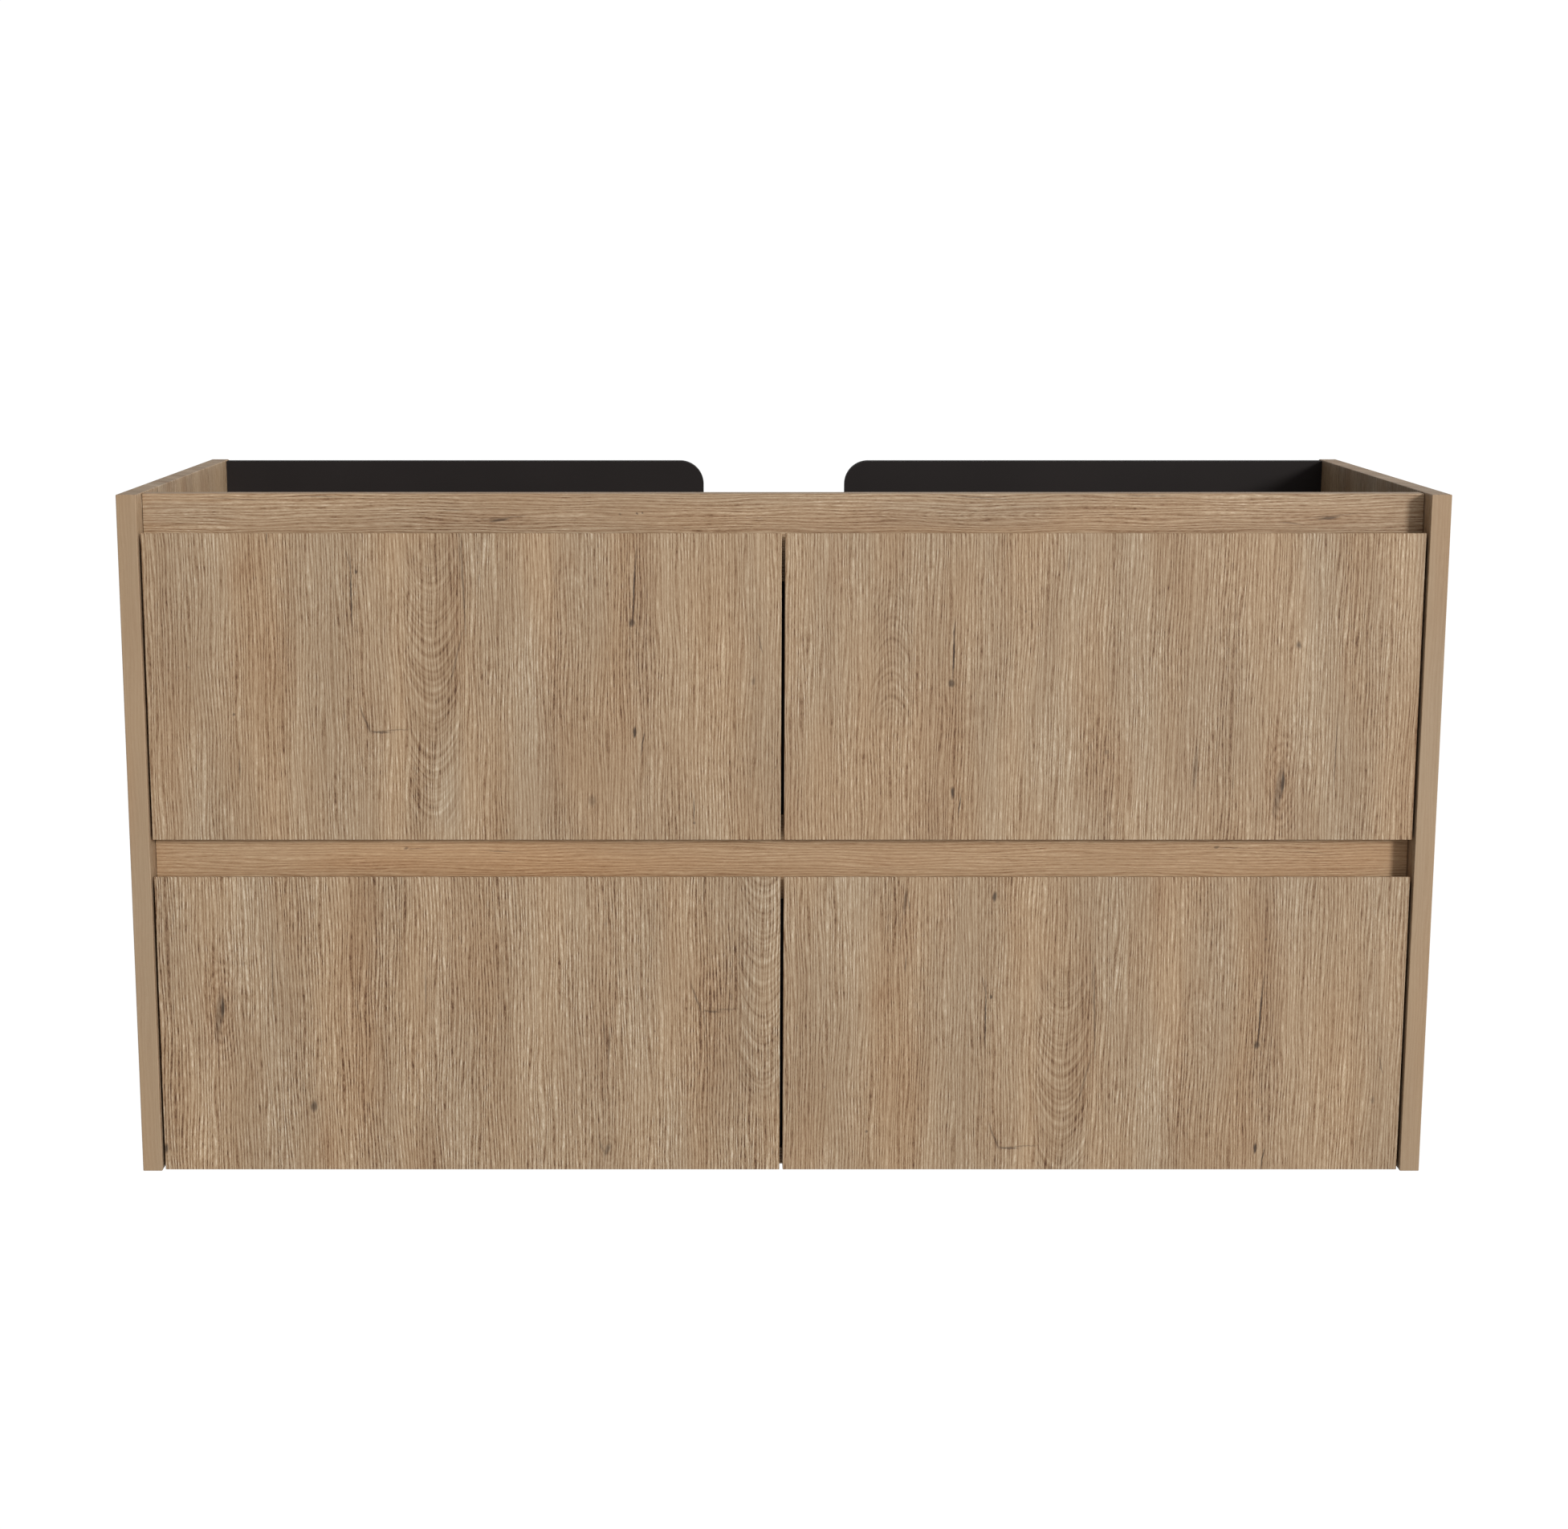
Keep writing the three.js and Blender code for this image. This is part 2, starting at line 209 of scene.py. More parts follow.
# The decor is one printed sheet. Each board is a window into it, so the same
# knots and figure turn up on more than one board. Sheet coordinates are in
# millimetres: a across the grain, b along it.
# Marks: (a, b, radius across, radius along, lean in degrees, strength)
CRACKS = [
    (444.5, 52, 0.75, 27, 2, 0.95), (442.5, 81, 2.6, 3.4, 0, 0.75), (446.5, 22, 0.5, 12, 3, 0.5),
    (444.5, 182, 1.5, 5, 0, 0.9), (451.5, 193, 0.6, 11, 8, 0.85),
    (188.5, 54, 0.6, 33, 0, 0.8), (193.5, 35, 1.4, 1.8, 0, 0.75), (186.5, 24, 0.5, 9, -12, 0.4),
    (199, 172, 0.9, 13, -22, 0.5), (212, 182, 9.5, 1.2, 3, 0.6), (226, 180, 13, 0.9, -4, 0.35),
    (252.5, -197, 1.6, 12, 4, 0.85), (249, -190, 3.5, 24, 6, 0.4),
    (335, -102, 3.2, 5.2, 8, 0.7), (195, -61, 1.8, 4.2, 4, 0.8), (262.5, -325, 2.2, 3.2, 0, 0.6),
    (-51, -320, 0.75, 25, 1, 0.95), (-52.5, -290, 2.8, 3.2, 0, 0.7),
    (-50, -188, 1.5, 5, 0, 0.85), (-43.5, -176, 0.6, 10, 7, 0.85),
    (90, -226, 2.2, 2.4, 0, 0.35), (172, -210, 2.4, 20, 3, 0.35),
    (112.5, -57, 1.6, 12, 5, 0.5), (113.5, 3, 0.6, 8, 4, 0.55), (116, -52, 0.5, 8, -6, 0.5),
    (82.5, 215, 0.7, 10, 2, 0.55), (78.5, 165, 1.1, 1.3, 0, 0.6), (39, 122, 1.0, 1.2, 0, 0.35),
    (694, -206, 1.0, 16, -20, 0.45), (708, -194, 9.5, 1.2, 3, 0.5), (722, -196, 12, 0.9, -4, 0.3),
    (610, -60, 2.4, 6, 24, 0.55), (604, -64, 1.2, 7, -20, 0.35), (612, -158, 1.0, 22, 3, 0.4), (608, -175, 0.6, 12, -4, 0.4),
    (442, -215, 0.5, 17, 1, 0.55), (300, -228, 0.6, 36, 1, 0.5), (290, 48, 0.9, 46, -2, 0.5), (283, 112, 0.9, 26, 14, 0.4),
    (559, 100, 0.6, 9, -14, 0.5), (553, 135, 1.5, 3, 0, 0.4), (405, 246, 3.8, 5, 0, 0.3),
    (498.5, 254, 0.5, 13, 0, 0.75), (498.8, 267, 1.3, 1.5, 0, 0.6), (447, -20, 1.3, 1.6, 0, 0.5),
    (287, 17, 0.7, 10, 0, 0.3), (52, -400, 0.6, 9, 4, 0.4), (14, -356, 1.1, 1.4, 0, 0.4),
    (573, 215, 1.0, 1.4, 0, 0.35), (655, -175, 1.0, 1.3, 0, 0.35), (701, -315, 0.5, 20, 2, 0.4),
]
# Broad brown smears: same fields
SMEARS = [
    (345, -62, 9, 26, 0, 0.5), (250, -190, 16, 52, 3, 0.6), (150, -42, 6, 50, 0, 0.5), (90, 36, 10, 15, 28, 0.45),
    (386, 26, 9, 9, 30, 0.35), (-62, -262, 26, 40, 0, 0.35), (95, -208, 22, 44, 0, 0.35), (-75, -165, 30, 34, 0, 0.3),
    (113, -40, 9, 32, 0, 0.5), (118, 110, 18, 40, 0, 0.35), (168, -212, 12, 52, 0, 0.35), (-158, -400, 10, 32, 0, 0.45),
    (452, 20, 16, 180, 0, 0.3), (440, 170, 20, 60, 0, 0.3), (283, 40, 5, 90, -2, 0.45), (605, -175, 12, 50, 0, 0.35),
    (712, -214, 22, 30, 0, 0.4), (712, -150, 22, 60, 0, 0.25), (205, 165, 20, 25, 0, 0.25), (385, -190, 20, 140, 0, 0.3),
    (470, -230, 28, 90, 0, 0.3), (22, 190, 10, 120, 0, 0.25), (370, 160, 14, 120, 0, 0.35), (-207, -180, 20, 120, 0, 0.3),
]
# Pale streaks
PALES = [
    (228, -60, 12, 120, 0, 0.55), (236, 215, 7, 45, 0, 0.6), (268, 238, 9, 60, 6, 0.7), (290, 200, 5, 60, 4, 0.4),
    (-178, -300, 8, 120, 1, 0.6), (-150, -260, 14, 70, 0, 0.4), (-120, -400, 10, 60, 0, 0.35), (30, -270, 26, 80, 0, 0.4),
    (262, -380, 7, 60, 2, 0.6), (276, -330, 9, 60, 3, 0.55), (228, -230, 10, 90, 0, 0.45), (180, -60, 12, 60, 0, 0.35),
    (30, 230, 14, 60, 0, 0.4), (98, 190, 12, 80, 0, 0.5), (545, 140, 22, 130, 0, 0.4), (550, -220, 18, 120, 0, 0.45),
    (588, -290, 10, 60, 0, 0.45), (335, 130, 8, 60, 0, 0.35), (420, 60, 9, 40, 0, 0.3), (60, -120, 22, 50, 0, 0.3),
    (520, -20, 14, 60, 0, 0.35), (640, -60, 10, 60, 0, 0.3), (440, 210, 8, 26, 0, 0.4), (210, 40, 10, 50, 0, 0.3),
]
# Nested arches (cathedral figure): (centre a, b from, b to, half width, arch height, turn, strength)
ARCHES = [
    (260, -10, 290, 22, 26, 1, 1.0),
    (757, -390, -90, 22, 26, 1, 1.0),
    (-107, -400, -235, 17, 20, -1, 0.75),
    (252, -290, -120, 24, 60, 1, 0.5),
    (386, 0, 130, 14, 16, -1, 0.4),
]

# Eye figure: rings round a long ellipse (centre a, b, radius across, radius along, rings, strength)
EYES = [
    (251, -196, 17, 46, 5.5, 1.0), (262, -325, 8, 14, 3, 0.5), (335, -100, 9, 16, 3, 0.6), (195, -61, 7, 13, 3, 0.6),
    (-52, -290, 8, 10, 3, 0.5), (443, 82, 8, 10, 3, 0.5), (-50, -188, 7, 16, 3, 0.5), (444, 182, 7, 16, 3, 0.5),
    (196, 36, 8, 10, 3, 0.5), (91, -226, 6, 6, 2.5, 0.5), (611, -61, 12, 18, 3, 0.6), (551, 137, 7, 12, 3, 0.4),
]

# The two rails, a = height in mm at their front face, b = X in mm
TOP_RAIL = {
    "cracks": [(610, -258, 1.3, 9, -7, 0.7), (612, -255, 0.6, 24, -5, 0.35), (616, -133, 1.0, 1.1, 0, 0.7), (616.5, -127.5, 0.8, 0.9, 0, 0.6),
               (615, -148, 0.9, 1.0, 0, 0.35), (612, 496, 1.2, 9, -7, 0.7), (614, 500, 0.6, 26, -5, 0.35), (607, 462, 0.7, 10, 6, 0.4),
               (632, 330, 0.5, 22, 0, 0.45), (631.5, -420, 0.5, 16, 2, 0.45), (619, -300, 0.5, 10, 0, 0.4), (629, -495, 0.5, 26, 3, 0.35),
               (630, 180, 0.6, 30, 4, 0.4)],
    "smears": [(611, -262, 6, 30, 0, 0.5), (612, 488, 7, 42, 0, 0.5), (609, -310, 7, 20, 0, 0.5), (614, 90, 8, 34, 0, 0.35), (606, 60, 8, 50, 0, 0.2)],
    "pales": [(628, 20, 5, 60, 0, 0.35), (605, 540, 6, 60, 0, 0.3), (622, -420, 4, 60, 0, 0.3), (606, 330, 5, 60, 0, 0.3)],
    "arches": [(616, 58, 262, 10, 70, -1, 0.8), (617, -660, -478, 9, 64, -1, 0.7)],
    "eyes": [(611, -260, 6.5, 28, 3.5, 0.7), (612, 492, 7.5, 46, 4, 0.8)],
}
MIDDLE_RAIL = {
    "cracks": [(305, -349, 1.3, 2.2, 0, 0.55), (304.6, -338, 0.4, 11, 0, 0.4), (306, 404, 1.3, 2.2, 0, 0.55), (305.4, 416, 0.4, 11, 0, 0.4),
               (309.6, -555, 0.5, 3, 0, 0.4), (302, -260, 0.5, 16, 4, 0.35), (301, 492, 0.5, 14, 5, 0.35), (311, 200, 0.4, 2, 0, 0.4)],
    "smears": [(290, -380, 6, 60, 0, 0.35), (292, 90, 6, 50, 0, 0.25), (290, 500, 6, 60, 0, 0.3)],
    "pales": [(306, -315, 3, 22, 0, 0.4), (307, 440, 3, 22, 0, 0.4)],
    "arches": [], "eyes": [(304, -352, 4, 12, 2.5, 0.5), (305, 401, 4, 12, 2.5, 0.5)],
}
SHEET = {"cracks": CRACKS, "smears": SMEARS, "pales": PALES, "arches": ARCHES, "eyes": EYES}

OAK_RAMP = [
    (0.00, (88, 60, 39)), (0.16, (126, 96, 69)), (0.34, (151, 123, 93.5)), (0.50, (166, 139.5, 110)),
    (0.66, (178, 153.5, 125)), (0.82, (192, 169.5, 141)), (1.00, (213, 194, 168)),
]


def visible(items, a0, a1, b0, b1):
    return [f for f in items if a0 - f[2] - 4 < f[0] < a1 + f[2] + 4 and b0 - f[3] - 4 < f[1] < b1 + f[3] + 4]


def oak(name, grain, oa, ob, extent, seed=0.0, marks=True, smooth_y=False, tint=(1, 1, 1), contrast=1.0,
        bands=1.0, grain_depth=1.0, figure=SHEET):
    """One board's material: a window into the decor sheet.
    grain 'V' runs along Z, 'H' along X. oa, ob: sheet coordinates of the row-frame origin.
    extent: (a0, a1, b0, b1) that the board shows, to leave out marks it doesn't reach.
    smooth_y: front and rear edges are banded with a plainer, smoother strip."""
    t = Tree(name)
    obj, (x, y, z), (nx, ny, nz) = t.coords()
    if grain == "V":
        a = t.mad(t.add(x, y), 1000.0, oa)
        b = t.mad(z, -1000.0, ob)
    else:
        a = t.mad(t.add(z, y), 1000.0, oa)
        b = t.mad(x, 1000.0, ob)
    p = t.vec(a, b, seed * 37.0)

    # slow wander of the grain, then the figure's own bend
    w1 = t.noise(t.vm("MULTIPLY", p, (1 / 130, 1 / 260, 1.0)), 1.0, 1.0, 0.5)
    w2 = t.noise(t.vm("MULTIPLY", p, (1 / 26, 1 / 70, 1.0)), 1.0, 1.0, 0.5)
    wander = t.add(t.mul(t.sub(w1, 0.5), 26.0), t.mul(t.sub(w2, 0.5), 4.0))
    aw = t.add(a, wander)
    pw = t.vec(aw, b, seed * 37.0)

    # embossing: narrow ribs about 3 mm apart whose pitch wanders and whose height comes and goes; they drive the bump
    # and are also painted into the colour, as painted highlight on the ridges and painted shade in the grooves
    ar = t.mad(wander, 0.4, a)
    pr = t.vec(ar, b, seed * 37.0)
    shift = t.noise(t.vm("MULTIPLY", pr, (1 / 5.5, 1 / 75, 1.0)), 1.0, 0.0, 0.5)
    rib = t.m("SINE", t.mul(t.add(t.mul(ar, 1 / 3.05), t.mul(shift, 1.9)), 2 * math.pi))
    come = t.noise(t.vm("MULTIPLY", t.vm("ADD", pr, (371.0, 11.0, 5.0)), (1 / 2.6, 1 / 8.0, 1.0)), 1.0, 1.5, 0.6)
    dash = t.noise(t.vm("MULTIPLY", t.vm("ADD", pr, (171.0, 61.0, 7.0)), (1 / 0.8, 1 / 11.0, 1.0)), 1.0, 0.0, 0.5)
    grit = t.noise(t.vm("MULTIPLY", t.vm("ADD", pr, (71.0, 911.0, 9.0)), (1 / 0.5, 1 / 2.4, 1.0)), 1.0, 1.0, 0.6)
    amp = t.noise(t.vm("MULTIPLY", p, (1 / 36, 1 / 90, 1.0)), 1.0, 1.0, 0.5)
    amp = t.rng(amp, 0.3, 0.7, 0.72, 1.28)
    emboss = t.mul(rib, t.rng(come, 0.24, 0.76, 0.0, 0.43))
    emboss = t.add(emboss, t.mul(t.sub(dash, 0.5), 0.50))
    emboss = t.add(emboss, t.mul(t.sub(grit, 0.5), 0.46))
    emboss = t.mul(emboss, t.mul(amp, grain_depth))

    # printed bands and slow colour drift
    band = t.noise(t.vm("MULTIPLY", pw, (1 / 42, 1 / 380, 1.0)), 1.0, 1.0, 0.5)
    fine = t.noise(t.vm("MULTIPLY", t.vm("ADD", pw, (0.0, 77.0, 3.0)), (1 / 9, 1 / 150, 1.0)), 1.0, 2.0, 0.55)
    tone = t.add(t.mul(t.sub(band, 0.5), 0.42 * bands), t.mul(t.sub(fine, 0.5), 0.24 * bands))

    # marks of this window
    jit = t.vm("SCALE", t.vm("SUBTRACT", t.noise(t.vm("MULTIPLY", p, (1 / 3.5, 1 / 9, 1.0)), 1.0, 2.0, 0.55, color=True), (0.5, 0.5, 0.5)), 1.0)
    pj = t.vm("ADD", t.vec(a, b, 0.0), t.vm("MULTIPLY", jit, (2.2, 5.0, 0.0)))
    pj = t.vm("MULTIPLY", pj, (1.0, 1.0, 0.0))

    def spread(items, soft, floor_):
        acc = None
        for (fa, fb, ra, rb, lean, k) in items:
            d = t.vm("LENGTH", t.mapping(pj, (fa, fb, 0), (0, 0, math.radians(lean)), (ra, rb, 1)))
            v = t.rng(d, soft, floor_, 0.0, k, smooth=True)
            acc = v if acc is None else t.m("MAXIMUM", acc, v)
        return acc

    a0, a1, b0, b1 = extent
    dark = smear = pale = None
    if marks:
        dark = spread(visible(figure["cracks"], a0, a1, b0, b1), 1.5, 0.35)
        smear = spread(visible(figure["smears"], a0, a1, b0, b1), 1.7, 0.1)
        pale = spread(visible(figure["pales"], a0, a1, b0, b1), 1.6, 0.1)
    grey = None
    for (ca, c0, c1, hw, hh, turn, k) in figure["arches"]:
        if not marks or ca + 2 * hw < a0 or ca - 2 * hw > a1 or c1 < b0 or c0 > b1:
            continue
        u = t.m("DIVIDE", t.sub(t.add(a, t.mul(wander, 0.35)), ca), hw)
        uu = t.mul(u, u)
        q = t.add(b, t.mul(uu, hh * turn))
        rings = t.noise(t.vec(t.mul(q, 1 / 5.2), t.mul(u, 0.35), ca), 1.0, 1.0, 0.5)
        edge = t.mul(t.rng(uu, 0.5, 2.0, 1.0, 0.0, smooth=True),
                     t.mul(t.rng(b, c0, c0 + 40, 0.0, 1.0, smooth=True), t.rng(b, c1 - 40, c1, 1.0, 0.0, smooth=True)))
        tone = t.add(tone, t.mul(t.mul(t.sub(rings, 0.53), 0.80 * k), edge))
        g = t.mul(edge, k)
        grey = g if grey is None else t.m("MAXIMUM", grey, g)
    for (ca, cb, ra, rb, rings_n, k) in figure["eyes"]:
        if not marks or ca + 2 * ra < a0 or ca - 2 * ra > a1 or cb + 2 * rb < b0 or cb - 2 * rb > b1:
            continue
        d = t.vm("LENGTH", t.mapping(pj, (ca, cb, 0), (0, 0, 0), (ra, rb, 1)))
        ringed = t.m("SINE", t.mul(t.add(d, t.mul(t.sub(w2, 0.5), 0.5)), 2 * math.pi * rings_n))
        fade = t.rng(d, 1.5, 0.5, 0.0, 0.085 * k, smooth=True)
        tone = t.add(tone, t.mul(t.sub(ringed, 0.25), fade))
    if smear is not None:
        tone = t.sub(tone, t.mul(smear, 0.14))
    if pale is not None:
        tone = t.add(tone, t.mul(pale, 0.10))

    # plain, smooth strip on banded edges
    rib_relief_and_shade = emboss
    if smooth_y:
        flat = t.rng(t.m("ABSOLUTE", ny), 0.6, 0.9, 0.0, 1.0)
        keep = t.sub(1.0, t.mul(flat, 0.86))
        rib_relief_and_shade = t.mul(emboss, keep)
        tone = t.mul(tone, t.sub(1.0, t.mul(flat, 0.55)))

    # The ribs go into the colour as well as the bump. Pale ridges are a painted highlight and dark grooves are a
    # painted shade of the embossing, laid over the printed grain and tone.
    v = t.add(t.mul(rib_relief_and_shade, 0.95 * contrast), t.add(tone, 0.5))
    # tint scales the whole ramp; on the two rails it carries painted light that brightens them
    col = t.ramp(v, [(q, tuple(c * s for c, s in zip(lin(rgb)[:3], tint)) + (1.0,)) for q, rgb in OAK_RAMP])

    # hue drift between warm tan and grey beige
    hue = t.noise(t.vm("MULTIPLY", t.vm("ADD", pw, (513.0, 40.0, 8.0)), (1 / 60, 1 / 300, 1.0)), 1.0, 1.0, 0.5)
    warm_hue_and_painted_light = t.rng(hue, 0.42, 0.72, 0.0, 0.55, smooth=True)
    cool = t.rng(hue, 0.56, 0.28, 0.0, 0.5, smooth=True)
    if grey is not None:
        cool = t.m("MAXIMUM", cool, t.mul(grey, 0.75))
    col = t.mix(warm_hue_and_painted_light, col, (1.06, 0.985, 0.90, 1.0), "MULTIPLY")
    col = t.mix(cool, col, (0.945, 0.985, 1.035, 1.0), "MULTIPLY")
    if smear is not None:
        col = t.mix(t.mul(smear, 0.8), col, (0.97, 0.90, 0.86, 1.0), "MULTIPLY")
    if dark is not None:
        col = t.mix(dark, col, lin((52, 38, 29)))

    height = t.mul(rib_relief_and_shade, 1.0)
    if dark is not None:
        height = t.sub(height, t.mul(dark, 0.9))
    normal = t.bump(height, 0.00022, 0.75)
    rough = t.rng(v, 0.2, 0.85, 0.60, 0.47)
    return t.finish(col, rough, normal, spec=0.35)


def fbox(node):
    lo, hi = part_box(node)
    return [v * 1000 for v in lo], [v * 1000 for v in hi]


# drawer fronts: window origins are the sheet coordinates of each front's top left corner
WINDOWS = {"upper_left": (0.0, 0.0), "lower_right": (0.0, -79.5), "lower_left": (193.5, -322.5), "upper_right": (-204.5, -426.5)}
for tag, (wa, wb) in WINDOWS.items():
    n = tag + "_drawer_front"
    lo, hi = fbox(n)
    y_face = lo[1]
    oa = wa - (lo[0] + y_face)
    ob = wb + hi[2]
    mat = oak("oak_" + tag, "V", oa, ob, (wa, wa + hi[0] - lo[0], wb, wb + hi[2] - lo[2]),
              grain_depth=1.2 if tag == "lower_left" else 1.0)
    nodes[n].data.materials.clear()
    nodes[n].data.materials.append(mat)


def board(node, grain, wa, wb, **kw):
    lo, hi = fbox(node)
    if grain == "V":
        oa = wa - (lo[0] + lo[1]); ob = wb + hi[2]
        ext = (wa, wa + (hi[0] - lo[0]) + (hi[1] - lo[1]), wb, wb + hi[2] - lo[2])
    else:
        oa = wa - (lo[2] + lo[1]); ob = wb - lo[0]
        ext = (wa, wa + (hi[2] - lo[2]) + (hi[1] - lo[1]), wb, wb + hi[0] - lo[0])
    mat = oak("oak_" + node, grain, oa, ob, ext, **kw)
    nodes[node].data.materials.clear()
    nodes[node].data.materials.append(mat)
    return mat


board("side_panel_left", "V", 150, -330, smooth_y=True)
board("side_panel_right", "V", 60, -300, smooth_y=True)
# The rails' tints are painted light. The middle rail's colour is lifted by about a fifth, and a little warmer, to make
# up for the shade it sits in, set back under the fronts. The top rail's colour is lifted by a couple of percent.
for node, figure, warm_hue_and_painted_light in (("top_grip_rail", TOP_RAIL, (1.02, 1.01, 1.01)), ("middle_grip_rail", MIDDLE_RAIL, (1.21, 1.12, 1.02))):
    lo, hi = fbox(node)
    board(node, "H", lo[2], lo[0], figure=figure, tint=warm_hue_and_painted_light, bands=0.55, seed=2.0 if figure is TOP_RAIL else 3.0,
          grain_depth=0.85 if figure is TOP_RAIL else 0.6)
board("bottom_panel", "H", -150, -500)


# ------------------------------------------------------- other materials

def black_board():
    t = Tree("black_board")
    obj, _, _ = t.coords()
    g1 = t.noise(obj, 2600, 2.0, 0.6)
    g2 = t.noise(obj, 9, 2.0, 0.5)
    f = t.add(t.mul(t.sub(g1, 0.5), 0.55), t.add(t.mul(t.sub(g2, 0.5), 0.5), 0.5))
    col = t.ramp(f, [(0.0, lin((24, 20, 19))), (0.5, lin((34, 29, 28))), (1.0, lin((46, 40, 39)))])
    return t.finish(col, t.rng(g1, 0.2, 0.8, 0.62, 0.78), t.bump(g1, 0.00006, 0.5), spec=0.2)


def drawer_board():
    t = Tree("drawer_board")
    obj, (x, y, z), _ = t.coords()
    wx = t.noise(t.vec(t.mul(x, 2400.0), t.mul(y, 190.0), t.mul(z, 190.0)), 1.0, 1.0, 0.5)
    wy = t.noise(t.vec(t.mul(x, 190.0), t.mul(y, 2400.0), t.mul(z, 2400.0)), 1.0, 1.0, 0.5)
    f = t.add(wx, t.mul(wy, 1.0))
    col = t.ramp(t.mul(f, 0.5), [(0.25, lin((112, 110, 106))), (0.5, lin((134, 132, 127))), (0.75, lin((152, 150, 145)))])
    return t.finish(col, t.rng(f, 0.5, 1.5, 0.6, 0.5), t.bump(f, 0.00005, 0.5), spec=0.4)


def powder():
    t = Tree("drawer_steel")
    obj, _, _ = t.coords()
    o = t.noise(obj, 1900, 2.0, 0.5)
    s = t.noise(obj, 30, 2.0, 0.5)
    f = t.add(t.mul(o, 0.7), t.mul(s, 0.3))
    col = t.ramp(f, [(0.3, lin((62, 64, 67))), (0.5, lin((74, 76, 79))), (0.7, lin((86, 88, 91)))])
    return t.finish(col, t.rng(o, 0.2, 0.8, 0.36, 0.5), t.bump(o, 0.00005, 0.6), spec=0.5)


def zinc():
    t = Tree("zinc_steel")
    obj, (x, y, z), _ = t.coords()
    roll = t.noise(t.vec(t.mul(x, 900.0), t.mul(y, 25.0), t.mul(z, 900.0)), 1.0, 2.0, 0.6)
    cloud = t.noise(obj, 55, 3.0, 0.6)
    f = t.add(t.mul(roll, 0.5), t.mul(cloud, 0.5))
    col = t.ramp(f, [(0.3, lin((150, 154, 160))), (0.5, lin((184, 187, 190))), (0.7, lin((206, 207, 204)))])
    return t.finish(col, t.rng(f, 0.3, 0.7, 0.42, 0.24), t.bump(roll, 0.00004, 0.4), metallic=1.0)


def cap_plastic():
    t = Tree("cap_plastic")
    obj, _, _ = t.coords()
    g = t.noise(obj, 1500, 3.0, 0.6)
    s = t.noise(obj, 25, 1.0, 0.5)
    f = t.add(t.mul(g, 0.5), t.mul(s, 0.5))
    col = t.ramp(f, [(0.3, lin((205, 203, 197))), (0.7, lin((222, 220, 214)))])
    return t.finish(col, t.rng(g, 0.2, 0.8, 0.42, 0.58), t.bump(g, 0.00004, 0.5))


plain = {"black_board": black_board(), "drawer_board": drawer_board(), "drawer_steel": powder(),
         "zinc_steel": zinc(), "cap_plastic": cap_plastic()}
for s in frame["record"]["subparts"]:
    if s["material_slot"] in plain:
        me = nodes[s["node"]].data
        me.materials.clear()
        me.materials.append(plain[s["material_slot"]])


# ------------------------------------------------------ softened edges

def soften(obj, width, segments=2, angle=35):
    w = obj.modifiers.new("weld", "WELD")
    w.merge_threshold = 0.00001
    b = obj.modifiers.new("edge", "BEVEL")
    b.width = width
    b.segments = segments
    b.limit_method = "ANGLE"
    b.angle_limit = math.radians(angle)
    b.harden_normals = False
    b.use_clamp_overlap = True


slots = {s["node"]: s["material_slot"] for s in frame["record"]["subparts"]}
for name, o in nodes.items():
    width = {"oak_board": 0.0006, "black_board": 0.0005, "drawer_board": 0.0004, "drawer_steel": 0.0004,
             "zinc_steel": 0.0002, "cap_plastic": 0.0003}[slots[name]]
    soften(o, width)


# ------------------------------------------------------ small fittings

def ring_mesh(bm, rings, origin, axis, steps=32):
    """Closed body of rings: (height along axis, radius or radius function of the angle)."""
    axis = Vector(axis).normalized()
    u = axis.orthogonal().normalized()
    v = axis.cross(u)
    rows = []
    for h, r in rings:
        row = []
        for i in range(steps):
            th = 2 * math.pi * i / steps
            rr = r(th) if callable(r) else r
            row.append(bm.verts.new(Vector(origin) + axis * h + (u * math.cos(th) + v * math.sin(th)) * rr))
        rows.append(row)
    for ra, rb in zip(rows, rows[1:]):
        for i in range(steps):
            j = (i + 1) % steps
            bm.faces.new((ra[i], ra[j], rb[j], rb[i]))
    bm.faces.new(list(reversed(rows[0])))
    bm.faces.new(rows[-1])


def cross_recess(r0, r1):
    return lambda th: r0 + (r1 - r0) * abs(math.cos(2 * th)) ** 6


def screw(bm, at, axis, r=0.0035, h=0.0016):
    """Pan head with a cross recess, seen from outside along axis."""
    ring_mesh(bm, [(0, r), (h * 0.35, r), (h * 0.7, r * 0.93), (h * 0.93, r * 0.72), (h, r * 0.55),
                   (h, cross_recess(r * 0.16, r * 0.5)), (h * 0.25, cross_recess(r * 0.1, r * 0.34))], at, axis)


def pad(bm, at, axis, r=0.004, h=0.0018):
    """Small domed buffer."""
    ring_mesh(bm, [(0, r), (h * 0.4, r), (h * 0.72, r * 0.9), (h * 0.93, r * 0.6), (h, r * 0.25)], at, axis)


def disc_cap(bm, at, axis, r=0.0085, h=0.0011):
    """Round cover of a cam fitting, with a shallow dished middle."""
    ring_mesh(bm, [(0, r), (h * 0.5, r), (h, r * 0.93), (h, r * 0.62), (h * 0.7, r * 0.5), (h * 0.62, r * 0.2)], at, axis)


def stadium(bm, at, axis, long_axis, half, r, h, inset=0.0008):
    """Long rounded cover with a chamfered rim."""
    axis = Vector(axis).normalized()
    la = Vector(long_axis).normalized()
    sa = axis.cross(la)
    rows = []
    for hh, d in ((0, 0), (h * 0.6, 0), (h, inset), (h, inset * 3), (h * 0.75, inset * 4)):
        row = []
        for i in range(40):
            th = 2 * math.pi * (i + 0.5) / 40
            c, sn = math.cos(th), math.sin(th)
            row.append(bm.verts.new(Vector(at) + axis * hh + la * (c * (r - d) + math.copysign(half, c)) + sa * sn * (r - d)))
        rows.append(row)
    for ra, rb in zip(rows, rows[1:]):
        for i in range(40):
            j = (i + 1) % 40
            bm.faces.new((ra[i], ra[j], rb[j], rb[i]))
    bm.faces.new(list(reversed(rows[0])))
    bm.faces.new(rows[-1])


